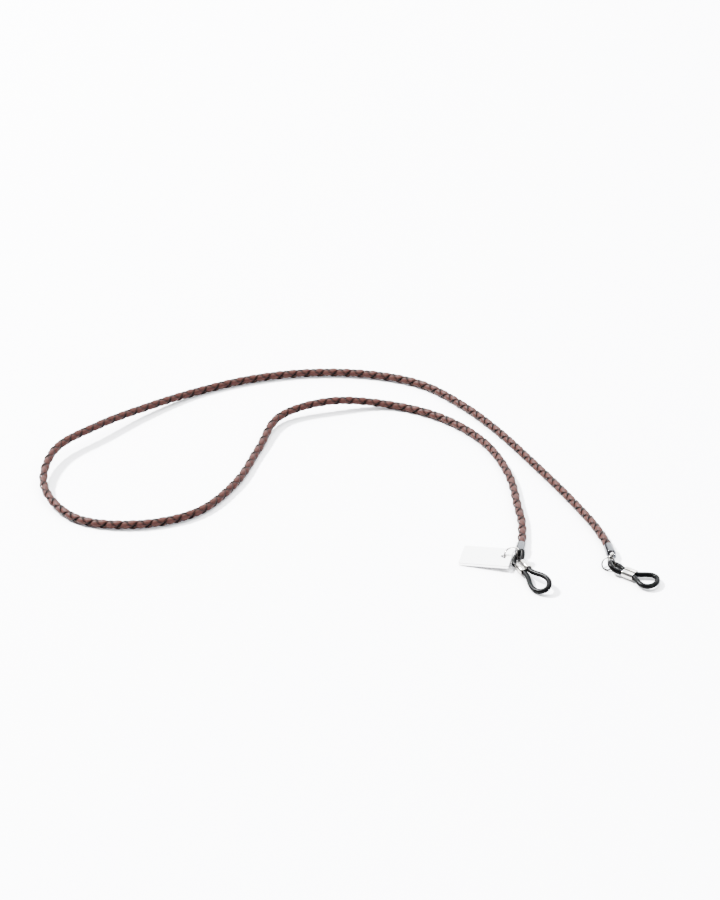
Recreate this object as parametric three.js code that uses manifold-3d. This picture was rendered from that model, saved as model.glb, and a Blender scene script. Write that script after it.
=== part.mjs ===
// Eyeglass retainer strap: a braided leather cord with a capped end on each side.
// Each cap carries a ring with a rubber temple loop, and the loop is pinched by a
// sliding double-barrel crimp sleeve. The left ring also carries a metal tag.
// Millimetres, +Z up, lying on the plane Z = 0.
import * as THREE from 'three';
import { mergeVertices } from 'three/addons/utils/BufferGeometryUtils.js';
import Module from 'manifold-3d';

const wasm = await Module();
wasm.setup();

// ---- driving dimensions ----------------------------------------------------
const CORD_DIAMETER = 3.0;
const CORD_SIDES = 8;
const CORD_STEPS = 80;

const CAP = {
  length: 5.0,
  outerRadius: 1.85,
  boreRadius: 1.6,
  boreDepth: 3.8,
  endRadius: 1.45,
  domeLength: 0.4,
  rimRadius: 0.12,
};
const CAP_AXIS_HEIGHT = 1.9;
const EYE = { radius: 1.2, wire: 0.8, sunk: 0.3 };
const ADHESIVE = { radius: 1.3, start: 0.7, end: 3.4 };

const LINK_RING = { radius: 1.85, wire: 0.7 };
const HOLDER_RING = { radius: 2.45, wire: 0.6 };

const RUBBER_RADIUS = 0.98;
const RUBBER_SEGMENTS = 72;
const RUBBER_SIDES = 12;
const LEG_OFFSET = 1.1;

const SLEEVE = { length: 4.4, boreRadius: 1.15, wall: 0.3 };

const TAG = {
  length: 18.8,
  width: 11.6,
  thickness: 1.0,
  corner: 0.9,
  hole: { x: 6.7, y: 0.6, radius: 1.4 },
};
const TAG_RING = { radius: 3.02, wire: 0.6 };

// Brings the middle of the fittings to X = Y = 0 and their lowest point to Z = 0.
const ORIGIN_SHIFT = [-0.7, 1.01, 0.01];

// Route of the cord's centre line, from the left cap's mouth to the right cap's mouth.
const CORD_ROUTE = [
  [-12.1, 13.64, 1.9], [-11.3, 22, 1.6], [-11.2, 30, 1.6], [-12, 38, 1.6], [-14.5, 61, 1.6], [-23, 84, 1.6],
  [-39, 102, 1.6], [-60, 112, 1.6], [-84, 110, 4.5], [-104, 101, 3], [-112, 79, 1.6],
  [-120, 55, 1.6], [-134, 35, 1.6], [-156, 27, 1.6], [-179.2, 31.2, 1.6], [-193, 50, 3],
  [-191.3, 73.4, 5], [-176, 91, 5], [-158, 108, 3], [-139, 122, 1.6], [-117, 132, 1.6],
  [-94, 137, 1.6], [-69, 136, 1.6], [-47, 128, 1.6], [-30, 111, 1.6], [-17, 92, 1.6],
  [-5, 70, 1.6], [5.8, 49, 1.6], [15.4, 28, 1.6], [18.1, 20, 1.7], [19.98, 12.62, 1.9],
];

// ---- materials -------------------------------------------------------------
const leather = () => new THREE.MeshStandardMaterial({ color: 0x5a3a34, roughness: 0.6, metalness: 0 });
const nickel = () => new THREE.MeshStandardMaterial({ color: 0xc9c8c6, roughness: 0.2, metalness: 1 });
const tagSteel = () => new THREE.MeshStandardMaterial({ color: 0xe4e2e0, roughness: 0.25, metalness: 1 });
const rubber = () => new THREE.MeshStandardMaterial({ color: 0x1c1c1f, roughness: 0.5, metalness: 0 });
const adhesive = () => new THREE.MeshStandardMaterial({ color: 0xb9a67c, roughness: 0.4, metalness: 0 });

// ---- helpers ---------------------------------------------------------------
const vec = (list) => new THREE.Vector3(...list);
const radians = THREE.MathUtils.degToRad;

function makeMesh(name, geometry, material) {
  const mesh = new THREE.Mesh(geometry, material);
  mesh.name = name;
  return mesh;
}

function toManifold(geometry) {
  const bare = geometry.clone();
  bare.deleteAttribute('normal');
  bare.deleteAttribute('uv');
  const merged = mergeVertices(bare, 1e-4);
  return new wasm.Manifold(new wasm.Mesh({
    numProp: 3,
    vertProperties: new Float32Array(merged.attributes.position.array),
    triVerts: new Uint32Array(merged.index.array),
  }));
}

function fromManifold(solid) {
  const mesh = solid.getMesh();
  const geometry = new THREE.BufferGeometry();
  geometry.setAttribute('position', new THREE.BufferAttribute(mesh.vertProperties, 3));
  geometry.setIndex(new THREE.BufferAttribute(mesh.triVerts, 1));
  geometry.computeVertexNormals();
  return geometry;
}

// A closed wire ring, given by its centre and the direction its plane faces.
function wireRing(name, size, centre, facing) {
  const geometry = new THREE.TorusGeometry(size.radius, size.wire / 2, 10, 40);
  const ring = makeMesh(name, geometry, nickel());
  ring.quaternion.setFromUnitVectors(new THREE.Vector3(0, 0, 1), vec(facing).normalize());
  ring.position.copy(vec(centre));
  return ring;
}

// ---- cord ------------------------------------------------------------------
function braidedCord() {
  const section = new THREE.Shape();
  for (let i = 0; i < CORD_SIDES; i += 1) {
    const angle = ((i + 0.5) / CORD_SIDES) * Math.PI * 2;
    const x = Math.cos(angle) * CORD_DIAMETER / 2;
    const y = Math.sin(angle) * CORD_DIAMETER / 2;
    if (i === 0) section.moveTo(x, y);
    else section.lineTo(x, y);
  }
  section.closePath();
  const path = new THREE.CatmullRomCurve3(CORD_ROUTE.map(vec), false, 'centripetal');
  const geometry = new THREE.ExtrudeGeometry(section, { steps: CORD_STEPS, extrudePath: path });
  return makeMesh('braided_cord', geometry, leather());
}

// ---- end caps --------------------------------------------------------------
// The cap's axis is its local +Y, from the open mouth at 0 to the closed end.
function capGeometry() {
  const { length, outerRadius, boreRadius, boreDepth, endRadius, domeLength, rimRadius } = CAP;
  const profile = [
    new THREE.Vector2(0, boreDepth),
    new THREE.Vector2(boreRadius, boreDepth),
    new THREE.Vector2(boreRadius, rimRadius),
    new THREE.Vector2(boreRadius + rimRadius, 0),
    new THREE.Vector2(outerRadius - rimRadius, 0),
    new THREE.Vector2(outerRadius, rimRadius),
    new THREE.Vector2(outerRadius, length - domeLength),
    new THREE.Vector2((outerRadius * 2 + endRadius) / 3, length - domeLength * 0.4),
    new THREE.Vector2(endRadius, length),
    new THREE.Vector2(0, length),
  ];
  const shell = toManifold(new THREE.LatheGeometry(profile, 28));
  const eye = new THREE.TorusGeometry(EYE.radius, EYE.wire / 2, 12, 28);
  eye.translate(0, length + EYE.radius + EYE.wire / 2 - EYE.sunk, 0);
  return fromManifold(shell.add(toManifold(eye)));
}

function endCap(side, mouth, headingDegrees) {
  const cap = makeMesh(`${side}_end_cap`, capGeometry(), nickel());
  const glue = new THREE.CylinderGeometry(ADHESIVE.radius, ADHESIVE.radius, ADHESIVE.end - ADHESIVE.start, 20);
  glue.translate(0, (ADHESIVE.start + ADHESIVE.end) / 2, 0);
  const fill = makeMesh(`${side}_cap_adhesive`, glue, adhesive());
  const group = new THREE.Group();
  group.position.set(mouth[0], mouth[1], CAP_AXIS_HEIGHT);
  group.rotation.z = radians(headingDegrees - 90);
  group.add(cap, fill);
  return group;
}

// ---- rubber loop with its crimp sleeve --------------------------------------
// Local frame: +X from the ring to the front of the loop, legs at Y = +-LEG_OFFSET.
// `frontRise` and `rearRise` lift the two ends off the sleeve's axis, `rearBow` bends
// the rear sideways and `rearTwist` rolls it about the X axis.
function loopCurve(shape) {
  const front = shape.frontTip - shape.frontStart;
  const half = [
    [shape.frontTip, 0],
    [shape.frontStart + front * 0.95, shape.frontHalfWidth * 0.5],
    [shape.frontStart + front * 0.82, shape.frontHalfWidth * 0.88],
    [shape.frontStart + front * 0.62, shape.frontHalfWidth],
    [shape.frontStart + front * 0.4, shape.frontHalfWidth * 0.84],
    [shape.frontStart + front * 0.18, shape.frontHalfWidth * 0.52],
    [shape.frontStart, LEG_OFFSET],
    [0, LEG_OFFSET],
    [shape.rearStart, LEG_OFFSET],
    [shape.rearStart * 0.62 + shape.rearTip * 0.38, shape.rearHalfWidth * 0.94],
    [shape.rearStart * 0.3 + shape.rearTip * 0.7, shape.rearHalfWidth],
    [shape.rearStart * 0.07 + shape.rearTip * 0.93, shape.rearHalfWidth * 0.62],
    [shape.rearTip, 0],
  ];
  const bend = ([x, y]) => {
    const rear = Math.max(0, (shape.rearStart - x) / (shape.rearStart - shape.rearTip));
    const fore = Math.max(0, (x - shape.frontStart) / front);
    const twist = radians(shape.rearTwist) * rear;
    return new THREE.Vector3(
      x,
      y * Math.cos(twist) + shape.rearBow * rear * rear,
      y * Math.sin(twist) + shape.rearRise * rear * rear + shape.frontRise * fore * fore,
    );
  };
  const mirrored = half.slice(1, -1).reverse().map(([x, y]) => [x, -y]);
  return new THREE.CatmullRomCurve3([...half, ...mirrored].map(bend), true, 'centripetal');
}

function sleeveGeometry() {
  const { length, boreRadius, wall } = SLEEVE;
  const outline = (radius, PathType) => {
    const waist = Math.acos(LEG_OFFSET / radius);
    const path = new PathType();
    path.absarc(LEG_OFFSET, 0, radius, -Math.PI + waist, Math.PI - waist, false);
    path.absarc(-LEG_OFFSET, 0, radius, waist, Math.PI * 2 - waist, false);
    return path;
  };
  const section = outline(boreRadius + wall, THREE.Shape);
  section.holes.push(outline(boreRadius, THREE.Path));
  const geometry = new THREE.ExtrudeGeometry(section, { depth: length, bevelEnabled: false, curveSegments: 18 });
  geometry.translate(0, 0, -length / 2);
  geometry.rotateX(Math.PI / 2);
  geometry.rotateZ(Math.PI / 2);
  return geometry;
}

function templeHolder(side, place, shape) {
  const curve = loopCurve(shape);
  const tube = new THREE.TubeGeometry(curve, RUBBER_SEGMENTS, RUBBER_RADIUS, RUBBER_SIDES, true);
  const group = new THREE.Group();
  group.position.copy(vec(place.centre));
  group.rotation.set(radians(place.roll), radians(-place.pitch), radians(place.heading), 'ZYX');
  group.add(makeMesh(`${side}_rubber_loop`, tube, rubber()));
  group.add(makeMesh(`${side}_crimp_sleeve`, sleeveGeometry(), nickel()));
  return group;
}

// ---- tag -------------------------------------------------------------------
// The tag's local +X runs towards its hole.
function metalTag(place) {
  const { length, width, thickness, corner, hole } = TAG;
  const x = length / 2 - corner;
  const y = width / 2 - corner;
  const outline = new THREE.Shape();
  outline.absarc(x, y, corner, 0, Math.PI / 2, false);
  outline.absarc(-x, y, corner, Math.PI / 2, Math.PI, false);
  outline.absarc(-x, -y, corner, Math.PI, Math.PI * 1.5, false);
  outline.absarc(x, -y, corner, Math.PI * 1.5, Math.PI * 2, false);
  const bore = new THREE.Path();
  bore.absarc(hole.x, hole.y, hole.radius, 0, Math.PI * 2, true);
  outline.holes.push(bore);
  const geometry = new THREE.ExtrudeGeometry(outline, { depth: thickness, bevelEnabled: false, curveSegments: 16 });
  geometry.translate(0, 0, -thickness / 2);
  const tag = makeMesh('metal_tag', geometry, tagSteel());
  tag.position.copy(vec(place.centre));
  tag.rotation.set(0, radians(-place.pitch), radians(place.heading), 'ZYX');
  return tag;
}

// ---- assembly --------------------------------------------------------------
const strap = new THREE.Group();
strap.position.copy(vec(ORIGIN_SHIFT));
strap.add(braidedCord());

strap.add(endCap('left', [-12.166, 13.344], -102));
strap.add(wireRing('left_holder_ring', HOLDER_RING, [-13.94, 4.9, 2.75], [0.978, -0.007, 0.206]));
strap.add(templeHolder('left', { centre: [-12.35, -1.55, 2.3], heading: -60.5, pitch: 0, roll: 25 }, {
  frontStart: 3.7, frontTip: 15.5, frontHalfWidth: 3.15, frontRise: 0,
  rearStart: -2.4, rearTip: -6.8, rearHalfWidth: 1.9, rearRise: 0.4, rearBow: 3.4, rearTwist: 0,
}));
strap.add(wireRing('tag_ring', TAG_RING, [-15.72, 6.01, 2.41], [0.065, 0.602, -0.796]));
strap.add(metalTag({ centre: [-25.4, 6.52, 1.28], heading: -13.7, pitch: 4.6 }));

strap.add(endCap('right', [20.018, 12.318], -82.3));
strap.add(wireRing('right_link_ring', LINK_RING, [20.05, 4.28, 2.57], [0.856, -0.504, -0.117]));
strap.add(wireRing('right_holder_ring', HOLDER_RING, [19.12, 1.5, 1.84], [-0.351, -0.477, 0.806]));
strap.add(templeHolder('right', { centre: [26.3, -4.4, 1.65], heading: -33, pitch: -2, roll: 0 }, {
  frontStart: 2.3, frontTip: 10.9, frontHalfWidth: 3.75, frontRise: 0.4,
  rearStart: -3.0, rearTip: -8.6, rearHalfWidth: 2.2, rearRise: 0.45, rearBow: 1.5, rearTwist: -30,
}));

export default strap;
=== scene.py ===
import math

import bpy
import numpy as np
from mathutils import Euler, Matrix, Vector

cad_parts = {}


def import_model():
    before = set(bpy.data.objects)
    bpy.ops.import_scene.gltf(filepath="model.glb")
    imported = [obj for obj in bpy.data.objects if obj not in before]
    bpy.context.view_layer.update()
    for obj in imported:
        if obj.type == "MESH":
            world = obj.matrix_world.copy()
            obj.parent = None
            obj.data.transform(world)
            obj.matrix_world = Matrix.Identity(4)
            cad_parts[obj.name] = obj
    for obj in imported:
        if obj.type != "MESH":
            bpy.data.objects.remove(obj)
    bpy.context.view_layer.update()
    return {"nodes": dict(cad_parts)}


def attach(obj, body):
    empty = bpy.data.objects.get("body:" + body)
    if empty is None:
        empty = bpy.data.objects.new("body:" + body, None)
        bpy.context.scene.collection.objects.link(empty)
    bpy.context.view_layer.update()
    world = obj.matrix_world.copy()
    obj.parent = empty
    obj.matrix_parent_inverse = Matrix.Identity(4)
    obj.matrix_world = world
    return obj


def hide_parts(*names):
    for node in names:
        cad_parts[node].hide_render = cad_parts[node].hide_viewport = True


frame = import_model()

# Lengths below are in millimetres, except for the camera, the lights and the floor.
MM = 0.001
# The CAD part moves all its pieces by this much to put the origin under the fittings' middle.
SHIFT = np.array([-0.7, 1.01, 0.01])


# ---- camera ------------------------------------------------------------------
def make_camera():
    data = bpy.data.cameras.new("camera")
    data.lens = 96
    data.sensor_width = 36
    data.clip_start = 0.01
    data.clip_end = 20
    camera = bpy.data.objects.new("camera", data)
    camera.location = (-0.0727, -0.7131, 0.5163)
    camera.rotation_euler = (math.radians(57), 0, 0)
    bpy.context.scene.collection.objects.link(camera)
    bpy.context.scene.camera = camera


make_camera()


# ---- materials ---------------------------------------------------------------
def new_material(name, color, roughness, metallic=0.0, **inputs):
    material = bpy.data.materials.new(name)
    material.use_nodes = True
    shader = material.node_tree.nodes["Principled BSDF"]
    shader.inputs["Base Color"].default_value = (*color, 1)
    shader.inputs["Roughness"].default_value = roughness
    shader.inputs["Metallic"].default_value = metallic
    for key, value in inputs.items():
        shader.inputs[key.replace("_", " ")].default_value = value
    return material, material.node_tree, shader


def add_bump(tree, shader, scale, strength, distance, detail=4.0):
    noise = tree.nodes.new("ShaderNodeTexNoise")
    noise.inputs["Scale"].default_value = scale
    noise.inputs["Detail"].default_value = detail
    bump = tree.nodes.new("ShaderNodeBump")
    bump.inputs["Strength"].default_value = strength
    bump.inputs["Distance"].default_value = distance
    coordinates = tree.nodes.new("ShaderNodeTexCoord")
    tree.links.new(coordinates.outputs["Object"], noise.inputs["Vector"])
    tree.links.new(noise.outputs["Fac"], bump.inputs["Height"])
    tree.links.new(bump.outputs["Normal"], shader.inputs["Normal"])


def leather_material():
    """Brown leather with painted shade: near-black where the mesh's "across" value marks a strand's
    edge or underside, with random grain tone on top.
    """
    color = (0.01, 0.004, 0.003)
    material, tree, shader = new_material("leather", color, 0.5, Specular_IOR_Level=0.05)
    # Reads the painted shade mask, stored on the mesh as "across".
    across = tree.nodes.new("ShaderNodeAttribute")
    across.attribute_name = "across"
    grain = tree.nodes.new("ShaderNodeTexNoise")
    grain.inputs["Scale"].default_value = 900
    grain.inputs["Detail"].default_value = 5
    coordinates = tree.nodes.new("ShaderNodeTexCoord")
    tree.links.new(coordinates.outputs["Object"], grain.inputs["Vector"])
    # Painted shade mask plus random grain tone: the grain shifts the shade value a little up or down.
    edge = tree.nodes.new("ShaderNodeMath")
    edge.operation = "ADD"
    spread = tree.nodes.new("ShaderNodeMath")
    spread.operation = "MULTIPLY_ADD"
    spread.inputs[1].default_value = 0.5
    spread.inputs[2].default_value = -0.25
    tree.links.new(grain.outputs["Fac"], spread.inputs[0])
    tree.links.new(across.outputs["Fac"], edge.inputs[0])
    tree.links.new(spread.outputs[0], edge.inputs[1])
    # Ramp from the leather's own brown to near-black painted shade at strand edges and undersides.
    ramp = tree.nodes.new("ShaderNodeValToRGB")
    ramp.color_ramp.elements[0].position = 0.1
    ramp.color_ramp.elements[0].color = (0.026, 0.0096, 0.0079, 1)
    ramp.color_ramp.elements[1].position = 0.72
    ramp.color_ramp.elements[1].color = (0.0005, 0.00015, 0.0001, 1)
    tree.links.new(edge.outputs[0], ramp.inputs["Fac"])
    tree.links.new(ramp.outputs["Color"], shader.inputs["Base Color"])
    bump = tree.nodes.new("ShaderNodeBump")
    bump.inputs["Strength"].default_value = 0.35
    bump.inputs["Distance"].default_value = 0.0001
    tree.links.new(grain.outputs["Fac"], bump.inputs["Height"])
    tree.links.new(bump.outputs["Normal"], shader.inputs["Normal"])
    return material


def nickel_material(name, tint):
    material, tree, shader = new_material(name, tint, 0.09, 1.0)
    add_bump(tree, shader, 700, 0.05, 0.00005)
    return material


def tag_material():
    material, tree, shader = new_material("tag_metal", (0.85, 0.84, 0.83), 0.2, 1.0)
    add_bump(tree, shader, 260, 0.04, 0.00005)
    return material


def rubber_material():
    color = (0.0009, 0.0009, 0.001)
    material, tree, shader = new_material("rubber", color, 0.28, Specular_IOR_Level=0.03)
    add_bump(tree, shader, 1500, 0.12, 0.00004)
    return material


def adhesive_material():
    material, tree, shader = new_material("adhesive", (0.3, 0.2, 0.09), 0.3)
    add_bump(tree, shader, 500, 0.1, 0.00005)
    return material


def floor_material():
    material, tree, shader = new_material("floor", (0.82, 0.82, 0.84), 0.9)
    add_bump(tree, shader, 300, 0.01, 0.00002)
    return material


LEATHER = leather_material()
CAP_NICKEL = nickel_material("cap_nickel", (0.07, 0.072, 0.078))
RING_NICKEL = nickel_material("ring_nickel", (0.028, 0.026, 0.024))
SLEEVE_NICKEL = nickel_material("sleeve_nickel", (0.4, 0.38, 0.355))
TAG_METAL = tag_material()
RUBBER = rubber_material()
ADHESIVE = adhesive_material()
FLOOR = floor_material()


# ---- mesh helpers ------------------------------------------------------------
def add_mesh(name, points, faces, material, smooth=True):
    mesh = bpy.data.meshes.new(name)
    mesh.from_pydata([tuple(p) for p in points], [], [tuple(f) for f in faces])
    mesh.materials.append(material)
    mesh.update()
    if smooth:
        mesh.shade_smooth()
    obj = bpy.data.objects.new(name, mesh)
    bpy.context.scene.collection.objects.link(obj)
    return obj


def grid_faces(rows, columns, close_rows=False, close_columns=True):
    faces = []
    for i in range(rows if close_rows else rows - 1):
        for j in range(columns if close_columns else columns - 1):
            a = i * columns + j
            b = i * columns + (j + 1) % columns
            c = ((i + 1) % rows) * columns + (j + 1) % columns
            d = ((i + 1) % rows) * columns + j
            faces.append((a, b, c, d))
    return faces


def catmull_rom(points, steps, closed=False):
    """Centripetal Catmull-Rom through the points, `steps` samples to a span."""
    points = np.array(points, float)
    if closed:
        ends = np.vstack([points[-1:], points, points[:2]])
    else:
        ends = np.vstack([2 * points[0] - points[1], points, 2 * points[-1] - points[-2]])
    out = []
    for p0, p1, p2, p3 in zip(ends, ends[1:], ends[2:], ends[3:]):
        d0 = max(np.linalg.norm(p1 - p0) ** 0.5, 1e-9)
        d1 = max(np.linalg.norm(p2 - p1) ** 0.5, 1e-9)
        d2 = max(np.linalg.norm(p3 - p2) ** 0.5, 1e-9)
        m1 = ((p1 - p0) / d0 - (p2 - p0) / (d0 + d1) + (p2 - p1) / d1) * d1
        m2 = ((p2 - p1) / d1 - (p3 - p1) / (d1 + d2) + (p3 - p2) / d2) * d1
        t = np.linspace(0, 1, steps, endpoint=False)[:, None]
        out.append(
            (2 * t**3 - 3 * t**2 + 1) * p1
            + (t**3 - 2 * t**2 + t) * m1
            + (3 * t**2 - 2 * t**3) * p2
            + (t**3 - t**2) * m2
        )
    path = np.vstack(out)
    return path if closed else np.vstack([path, points[-1:]])


def resample(path, spacing):
    lengths = np.concatenate([[0], np.cumsum(np.linalg.norm(np.diff(path, axis=0), axis=1))])
    count = int(round(lengths[-1] / spacing)) + 1
    at = np.linspace(0, lengths[-1], count)
    return at, np.stack([np.interp(at, lengths, path[:, k]) for k in range(3)], axis=1)


def unit(vectors):
    return vectors / np.linalg.norm(vectors, axis=-1, keepdims=True)


# ---- cord --------------------------------------------------------------------
CORD_SPACING = 0.45
CORD_LIFT = 0.15
CORD_LIFT_EASE = 20
CORD_INSET = 0.6
STRAND_TURN = 11.2
STRAND_CORNERS = 14
STRAND_HALF_WIDTH = 1.4
STRAND_HALF_THICKNESS = 0.3
STRAND_HUG = 0.42
BRAID_RADIUS = 0.95
BRAID_WEAVE = 0.38
BRAID_END_EASE = 3
CORD_ROUTE = [
    (-12.1, 13.64, 1.9), (-11.3, 22, 1.6), (-11.2, 30, 1.6), (-12, 38, 1.6),
    (-14.5, 61, 1.6), (-23, 84, 1.6), (-39, 102, 1.6), (-60, 112, 1.6), (-84, 110, 4.5),
    (-104, 101, 3), (-112, 79, 1.6),
    (-120, 55, 1.6), (-134, 35, 1.6), (-156, 27, 1.6), (-179.2, 31.2, 1.6), (-193, 50, 3),
    (-191.3, 73.4, 5), (-176, 91, 5), (-158, 108, 3), (-139, 122, 1.6), (-117, 132, 1.6),
    (-94, 137, 1.6), (-69, 136, 1.6), (-47, 128, 1.6), (-30, 111, 1.6), (-17, 92, 1.6),
    (-5, 70, 1.6), (5.8, 49, 1.6), (15.4, 28, 1.6), (18.1, 20, 1.7), (19.98, 12.62, 1.9),
]


def direction(heading):
    return np.array([math.cos(math.radians(heading)), math.sin(math.radians(heading)), 0])


LEFT_CAP = {"mouth": np.array([-12.166, 13.344, 1.9]), "heading": -102}
RIGHT_CAP = {"mouth": np.array([20.018, 12.318, 1.9]), "heading": -82.3}


def strand(centre, side, up, along, turn, phase, over):
    """One flat strand of the braid: a rounded ribbon wound round the cord's own line, with a painted
    shade value for each point.
    """
    angle = turn * 2 * math.pi * along / STRAND_TURN + phase
    wave = np.cos(4 * math.pi * along / STRAND_TURN + over)
    fullness = np.clip(np.minimum(along, along[-1] - along) / BRAID_END_EASE, 0, 1)
    radius = (BRAID_RADIUS + BRAID_WEAVE * wave) * (0.95 + 0.14 * fullness)
    outward = np.cos(angle)[:, None] * side + np.sin(angle)[:, None] * up
    middle = centre + outward * radius[:, None]
    run = unit(np.gradient(middle, axis=0))
    across = unit(np.cross(run, outward))
    lift = np.cross(across, run)
    around = np.linspace(0, 2 * math.pi, STRAND_CORNERS, endpoint=False)
    flat = np.sign(np.cos(around)) * np.abs(np.cos(around)) ** 0.8 * STRAND_HALF_WIDTH
    high = np.sign(np.sin(around)) * np.abs(np.sin(around)) ** 0.9 * STRAND_HALF_THICKNESS
    hug = -STRAND_HUG * (flat / STRAND_HALF_WIDTH) ** 2
    rows = (
        middle[:, None, :]
        + across[:, None, :] * flat[None, :, None]
        + lift[:, None, :] * (high + hug)[None, :, None]
    )
    # Painted shade: darker towards the strand's edges, in the creases between neighbouring strands, and
    # where the strand runs under the crossing strands.
    edge = np.tile(np.abs(flat) / STRAND_HALF_WIDTH, (len(along), 1)) ** 5
    under = (0.5 - 0.5 * wave)[:, None] ** 3
    shade = np.clip(0.8 * edge + 0.9 * under, 0, 1)
    return rows.reshape(-1, 3), shade.reshape(-1)


def braided_cord():
    """Two strands wound each way round the cord's route, woven over and under each other."""
    start = LEFT_CAP["mouth"] + direction(LEFT_CAP["heading"]) * CORD_INSET
    end = RIGHT_CAP["mouth"] + direction(RIGHT_CAP["heading"]) * CORD_INSET
    route = [tuple(start), *CORD_ROUTE, tuple(end)]
    along, centre = resample(catmull_rom(route, 60), CORD_SPACING)
    centre = centre + SHIFT
    centre[:, 2] += CORD_LIFT * np.clip(np.minimum(along, along[-1] - along) / CORD_LIFT_EASE, 0, 1)
    tangent = unit(np.gradient(centre, axis=0))
    side = unit(np.cross(np.array([0, 0, 1.0]), tangent))
    up = np.cross(tangent, side)
    points, shades, faces = [], [], []
    sections, corners = len(along), STRAND_CORNERS
    for turn, over in ((1, 0), (-1, math.pi)):
        for phase in (0, math.pi):
            rows, shade = strand(centre, side, up, along, turn, phase, over)
            offset = sum(len(p) for p in points)
            last = offset + (sections - 1) * corners
            faces += [tuple(k + offset for k in reversed(f)) for f in grid_faces(sections, corners)]
            faces.append(tuple(offset + k for k in range(corners)))
            faces.append(tuple(last + k for k in reversed(range(corners))))
            points.append(rows)
            shades.append(shade)
    cord = add_mesh("leather_braid", np.vstack(points) * MM, faces, LEATHER)
    # The painted shade of every strand goes onto the mesh as its "across" attribute.
    painted_shade_layer = cord.data.attributes.new("across", "FLOAT", "POINT")
    painted_shade_layer.data.foreach_set("value", np.concatenate(shades).astype(np.float32))
    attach(cord, "strap")
    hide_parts("braided_cord")


braided_cord()


# ---- fittings ----------------------------------------------------------------
RING_SEAM_GAP = 0.05
LEG_OFFSET = 1.1
RUBBER_RADIUS = 0.98


def basis(x_axis, y_axis, z_axis, origin):
    matrix = np.eye(4)
    matrix[:3, 0] = x_axis
    matrix[:3, 1] = y_axis
    matrix[:3, 2] = z_axis
    matrix[:3, 3] = np.array(origin) + SHIFT
    return matrix


def placed(points, matrix):
    return (np.asarray(points) @ matrix[:3, :3].T + matrix[:3, 3]) * MM


def revolve(profile, segments=72):
    """Turns (radius, height) pairs about the local Y axis and closes both ends with discs."""
    points = []
    for radius, height in profile:
        for k in range(segments):
            a = 2 * math.pi * k / segments
            points.append((radius * math.cos(a), height, -radius * math.sin(a)))
    faces = grid_faces(len(profile), segments)
    faces.append(tuple(reversed(range(segments))))
    last = (len(profile) - 1) * segments
    faces.append(tuple(last + k for k in range(segments)))
    return points, faces


def torus(radius, wire, around=96, section=28, gap=0.0):
    """A ring in the local XY plane. A gap leaves a cut seam, closed by its two end faces."""
    points = []
    spans = around + 1 if gap else around
    for i in range(spans):
        a = gap / 2 + (2 * math.pi - gap) * i / around
        ease = min(1.0, 0.55 + 6 * min(i, around - i) / around) if gap else 1.0
        half = wire / 2 * ease
        for j in range(section):
            b = 2 * math.pi * j / section
            r = radius + half * math.cos(b)
            points.append((r * math.cos(a), r * math.sin(a), half * math.sin(b)))
    faces = [f[::-1] for f in grid_faces(spans, section, close_rows=not gap)]
    if gap:
        faces.append(tuple(range(section)))
        faces.append(tuple((spans - 1) * section + j for j in reversed(range(section))))
    return points, faces


def merge(*parts):
    points, faces = [], []
    for part_points, part_faces in parts:
        offset = len(points)
        points += [tuple(p) for p in part_points]
        faces += [tuple(k + offset for k in f) for f in part_faces]
    return points, faces


def corner(centre, start, end, radius, count=6):
    """Points of a rounded corner in the (radius, height) plane, angles in degrees."""
    return [
        (centre[0] + radius * math.cos(math.radians(a)), centre[1] + radius * math.sin(math.radians(a)))
        for a in np.linspace(start, end, count)
    ]


def end_cap(side, cap):
    """A blind bored barrel with rounded rims and a cast eye, from its mouth along local Y."""
    length, outer, bore, depth = 5.0, 1.85, 1.6, 3.8
    lip, shoulder = 0.11, 0.32
    eye_radius, eye_wire, eye_rise = 1.2, 0.8, 1.3
    profile = [(bore, depth)]
    profile += corner((bore + lip, lip), 180, 270, lip)
    profile += corner((outer - lip, lip), 270, 360, lip)
    profile += corner((outer - shoulder, length - shoulder), 0, 90, shoulder, 8)
    eye_points, eye_faces = torus(eye_radius, eye_wire, 72, 28)
    eye_points = [(x, y + length + eye_rise, z) for x, y, z in eye_points]
    y_axis = direction(cap["heading"])
    x_axis = np.array([y_axis[1], -y_axis[0], 0])
    matrix = basis(x_axis, y_axis, np.array([0, 0, 1]), cap["mouth"])
    points, faces = merge(revolve(profile), (eye_points, eye_faces))
    obj = add_mesh(f"{side}_cap", placed(points, matrix), faces, CAP_NICKEL)
    obj.data.set_sharp_from_angle(angle=math.radians(50))
    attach(obj, "strap")
    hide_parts(f"{side}_end_cap")


def wire_ring(name, node, body, radius, wire, centre, facing, seam, metal):
    """A ring bent from wire; facing is its axis and seam the turn of its cut in degrees."""
    z_axis = unit(np.array(facing, float))
    x_axis = unit(np.cross(np.array([0, 0, 1.0]), z_axis))
    y_axis = np.cross(z_axis, x_axis)
    turn = math.radians(seam)
    x_turned = math.cos(turn) * x_axis + math.sin(turn) * y_axis
    y_turned = np.cross(z_axis, x_turned)
    points, faces = torus(radius, wire, 120, 24, gap=RING_SEAM_GAP)
    matrix = basis(x_turned, y_turned, z_axis, centre)
    obj = add_mesh(name, placed(points, matrix), faces, metal)
    obj.data.set_sharp_from_angle(angle=math.radians(50))
    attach(obj, body)
    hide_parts(node)


def tilted(centre, heading, pitch, roll=0):
    """A piece's matrix from its centre and three angles in degrees."""
    angles = (math.radians(roll), -math.radians(pitch), math.radians(heading))
    matrix = np.eye(4)
    matrix[:3, :3] = np.array(Euler(angles, "XYZ").to_matrix())
    matrix[:3, 3] = np.array(centre) + SHIFT
    return matrix


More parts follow.
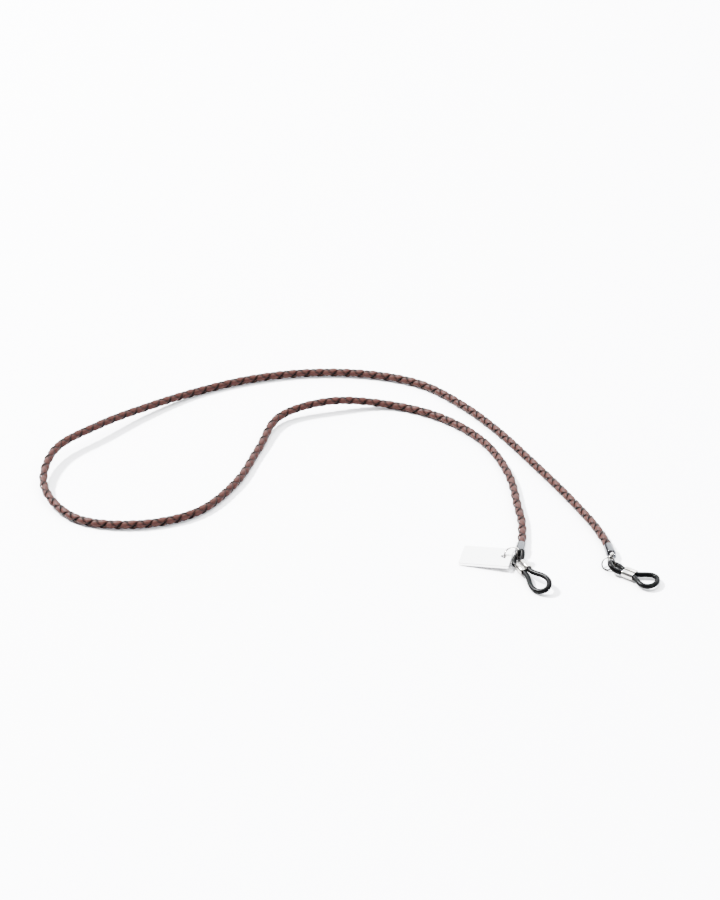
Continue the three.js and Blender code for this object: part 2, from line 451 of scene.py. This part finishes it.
def loop_points(s):
    """A temple loop's centre line: a wide front, two straight legs and a small rear bow."""
    front_start, front_tip, width = s["front_start"], s["front_tip"], s["front_width"]
    rear_start, rear_tip, rear_width = s["rear_start"], s["rear_tip"], s["rear_width"]
    front = front_tip - front_start
    half = [
        (front_tip, 0),
        (front_start + front * 0.95, width * 0.5),
        (front_start + front * 0.82, width * 0.88),
        (front_start + front * 0.62, width),
        (front_start + front * 0.4, width * 0.84),
        (front_start + front * 0.18, width * 0.52),
        (front_start, LEG_OFFSET),
        (0, LEG_OFFSET),
        (rear_start, LEG_OFFSET),
        (rear_start * 0.62 + rear_tip * 0.38, rear_width * 0.94),
        (rear_start * 0.3 + rear_tip * 0.7, rear_width),
        (rear_start * 0.07 + rear_tip * 0.93, rear_width * 0.62),
        (rear_tip, 0),
    ]
    outline = half + [(x, -y) for x, y in reversed(half[1:-1])]
    bent = []
    for x, y in outline:
        rear = max(0, (rear_start - x) / (rear_start - rear_tip))
        fore = max(0, (x - front_start) / front)
        twist = math.radians(s["rear_twist"]) * rear
        bent.append((
            x,
            y * math.cos(twist) + s["rear_bow"] * rear**2,
            y * math.sin(twist) + s["rear_rise"] * rear**2 + s["front_rise"] * fore**2,
        ))
    return bent


def closed_tube(path, radius, section=28):
    tangent = unit(np.roll(path, -1, axis=0) - np.roll(path, 1, axis=0))
    side = unit(np.cross(np.array([0, 0, 1.0]), tangent))
    up = np.cross(tangent, side)
    around = np.linspace(0, 2 * math.pi, section, endpoint=False)
    rows = (
        path[:, None, :]
        + radius * np.cos(around)[None, :, None] * side[:, None, :]
        + radius * np.sin(around)[None, :, None] * up[:, None, :]
    )
    return rows.reshape(-1, 3), grid_faces(len(path), section, close_rows=True)


def sleeve_outline(radius, count=40):
    """Two arcs about the loop's legs that meet at a waist, as one closed outline."""
    waist = math.acos(LEG_OFFSET / radius)
    right = np.linspace(-math.pi + waist, math.pi - waist, count)
    left = np.linspace(waist, 2 * math.pi - waist, count)
    points = [(LEG_OFFSET + radius * math.cos(a), radius * math.sin(a)) for a in right]
    points += [(-LEG_OFFSET + radius * math.cos(a), radius * math.sin(a)) for a in left[1:-1]]
    return points


def crimp_sleeve():
    """A tube of figure-of-eight section: the outer skin, rounded lips and the bore's skin."""
    half, outer, inner, lip, round_off = 2.2, 1.45, 1.15, 0.12, 0.03
    stations = [(-half + lip, inner), (-half + round_off, inner + round_off), (-half, inner + lip)]
    stations += [(-half, outer - lip), (-half + round_off, outer - round_off), (-half + lip, outer)]
    stations += [(half - lip, outer), (half - round_off, outer - round_off), (half, outer - lip)]
    stations += [(half, inner + lip), (half - round_off, inner + round_off), (half - lip, inner)]
    points = []
    for x, radius in stations:
        points += [(x, y, z) for y, z in sleeve_outline(radius)]
    columns = len(sleeve_outline(outer))
    return points, grid_faces(len(stations), columns, close_rows=True)


def temple_holder(side, matrix, shape):
    path = catmull_rom(loop_points(shape), 14, closed=True)
    points, faces = closed_tube(path, RUBBER_RADIUS)
    loop = add_mesh(f"{side}_rubber", placed(points, matrix), faces, RUBBER)
    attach(loop, f"{side}_loop")
    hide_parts(f"{side}_rubber_loop")
    points, faces = crimp_sleeve()
    sleeve = add_mesh(f"{side}_sleeve_skin", placed(points, matrix), faces, SLEEVE_NICKEL)
    sleeve.data.set_sharp_from_angle(angle=math.radians(40))
    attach(sleeve, f"{side}_sleeve")
    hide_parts(f"{side}_crimp_sleeve")


def tag_outline(length, width, radius, corner_radius):
    """The tag's rounded rectangle; a radius under corner_radius sets the outline inwards."""
    points = []
    for cx, cy, start in ((1, 1, 0), (-1, 1, 90), (-1, -1, 180), (1, -1, 270)):
        for a in np.linspace(start, start + 90, 9):
            x = cx * (length / 2 - corner_radius) + radius * math.cos(math.radians(a))
            y = cy * (width / 2 - corner_radius) + radius * math.sin(math.radians(a))
            points.append((x, y))
    return points


def metal_tag():
    length, width, thick, bend, bevel = 18.8, 11.6, 1.0, 0.9, 0.08
    hole_x, hole_y, hole_radius = 6.7, 0.6, 1.4
    outer = [tag_outline(length, width, bend - inset, bend) for inset in (0, bevel)]
    count = len(outer[0])
    angles = [math.atan2(y - hole_y, x - hole_x) for x, y in outer[1]]
    hole = [
        [(hole_x + r * math.cos(a), hole_y + r * math.sin(a)) for a in angles]
        for r in (hole_radius, hole_radius + bevel)
    ]
    top = thick / 2
    rings = [
        (outer[1], top), (outer[0], top - bevel), (outer[0], -top + bevel), (outer[1], -top),
        (hole[1], -top), (hole[0], -top + bevel), (hole[0], top - bevel), (hole[1], top),
    ]
    points = [(x, y, z) for ring, z in rings for x, y in ring]
    faces = [f[::-1] for f in grid_faces(len(rings), count, close_rows=True)]
    matrix = tilted((-25.4, 6.52, 1.28), heading=-13.7, pitch=4.6)
    tag = add_mesh("blank_tag", placed(points, matrix), faces, TAG_METAL)
    tag.data.set_sharp_from_angle(angle=math.radians(30))
    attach(tag, "tag")
    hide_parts("metal_tag")


end_cap("left", LEFT_CAP)
wire_ring(
    "left_ring_wire", "left_holder_ring", "left_ring", radius=2.45, wire=0.6,
    centre=(-13.94, 4.9, 2.75), facing=(0.978, -0.007, 0.206), seam=200, metal=RING_NICKEL,
)
temple_holder(
    "left",
    tilted((-12.35, -1.55, 2.3), heading=-60.5, pitch=0, roll=25),
    {
        "front_start": 3.7, "front_tip": 15.5, "front_width": 3.15, "front_rise": 0,
        "rear_start": -2.4, "rear_tip": -6.8, "rear_width": 1.9, "rear_rise": 0.4,
        "rear_bow": 3.4, "rear_twist": 0,
    },
)
wire_ring(
    "tag_ring_wire", "tag_ring", "tag_link", radius=3.02, wire=0.6,
    centre=(-15.72, 6.01, 2.41), facing=(0.065, 0.602, -0.796), seam=80, metal=SLEEVE_NICKEL,
)
metal_tag()

end_cap("right", RIGHT_CAP)
wire_ring(
    "right_link_wire", "right_link_ring", "right_link", radius=1.85, wire=0.7,
    centre=(20.05, 4.28, 2.57), facing=(0.856, -0.504, -0.117), seam=120, metal=SLEEVE_NICKEL,
)
wire_ring(
    "right_ring_wire", "right_holder_ring", "right_ring", radius=2.45, wire=0.6,
    centre=(19.12, 1.5, 1.84), facing=(-0.351, -0.477, 0.806), seam=150, metal=RING_NICKEL,
)
temple_holder(
    "right",
    tilted((26.3, -4.4, 1.65), heading=-33, pitch=-2, roll=0),
    {
        "front_start": 2.3, "front_tip": 10.9, "front_width": 3.75, "front_rise": 0.4,
        "rear_start": -3.0, "rear_tip": -8.6, "rear_width": 2.2, "rear_rise": 0.45,
        "rear_bow": 1.5, "rear_twist": -30,
    },
)

for node in ("left_cap_adhesive", "right_cap_adhesive"):
    mesh = frame["nodes"][node].data
    mesh.materials.clear()
    mesh.materials.append(ADHESIVE)


# ---- floor and light ---------------------------------------------------------
STRAP_MIDDLE = (-0.08, 0.06, 0)
FLOOR_HALF = 6.0
SKY_STRENGTH = 10.0


def floor():
    half = FLOOR_HALF
    points = [(-half, -half, 0), (half, -half, 0), (half, half, 0), (-half, half, 0)]
    add_mesh("floor", points, [(0, 1, 2, 3)], FLOOR, smooth=False)


def area_light(name, place, size, energy):
    data = bpy.data.lights.new(name, "AREA")
    data.shape = "RECTANGLE"
    data.size = data.size_y = size
    data.energy = energy
    light = bpy.data.objects.new(name, data)
    light.location = place
    light.rotation_euler = (Vector(STRAP_MIDDLE) - Vector(place)).to_track_quat("-Z", "Y").to_euler()
    bpy.context.scene.collection.objects.link(light)


def world():
    """A studio room: a white sweep behind the object, dark towards the camera and low down."""
    sky = bpy.data.worlds.new("studio")
    sky.use_nodes = True
    tree = sky.node_tree
    toward = tree.nodes.new("ShaderNodeTexCoord")
    slope = tree.nodes.new("ShaderNodeVectorMath")
    slope.operation = "DOT_PRODUCT"
    slope.inputs[1].default_value = (0.25, 0.6, 0.75)
    ramp = tree.nodes.new("ShaderNodeValToRGB")
    stops = ((0.0, 0.05), (0.5, 0.06), (0.66, 0.5), (0.78, 1.0))
    while len(ramp.color_ramp.elements) < len(stops):
        ramp.color_ramp.elements.new(0.5)
    for element, (position, value) in zip(ramp.color_ramp.elements, stops):
        element.position = position
        element.color = (value * 0.96, value * 0.975, value, 1)
    background = tree.nodes["Background"]
    background.inputs["Strength"].default_value = SKY_STRENGTH
    tree.links.new(toward.outputs["Generated"], slope.inputs[0])
    tree.links.new(slope.outputs["Value"], ramp.inputs["Fac"])
    tree.links.new(ramp.outputs["Color"], background.inputs["Color"])
    bpy.context.scene.world = sky


floor()
area_light("key", (-1.9, 0.9, 2.2), 0.35, 1000)
area_light("top", (0.4, 0.9, 3.0), 1.6, 150)
area_light("fill", (1.8, -1.4, 1.8), 1.0, 60)
world()
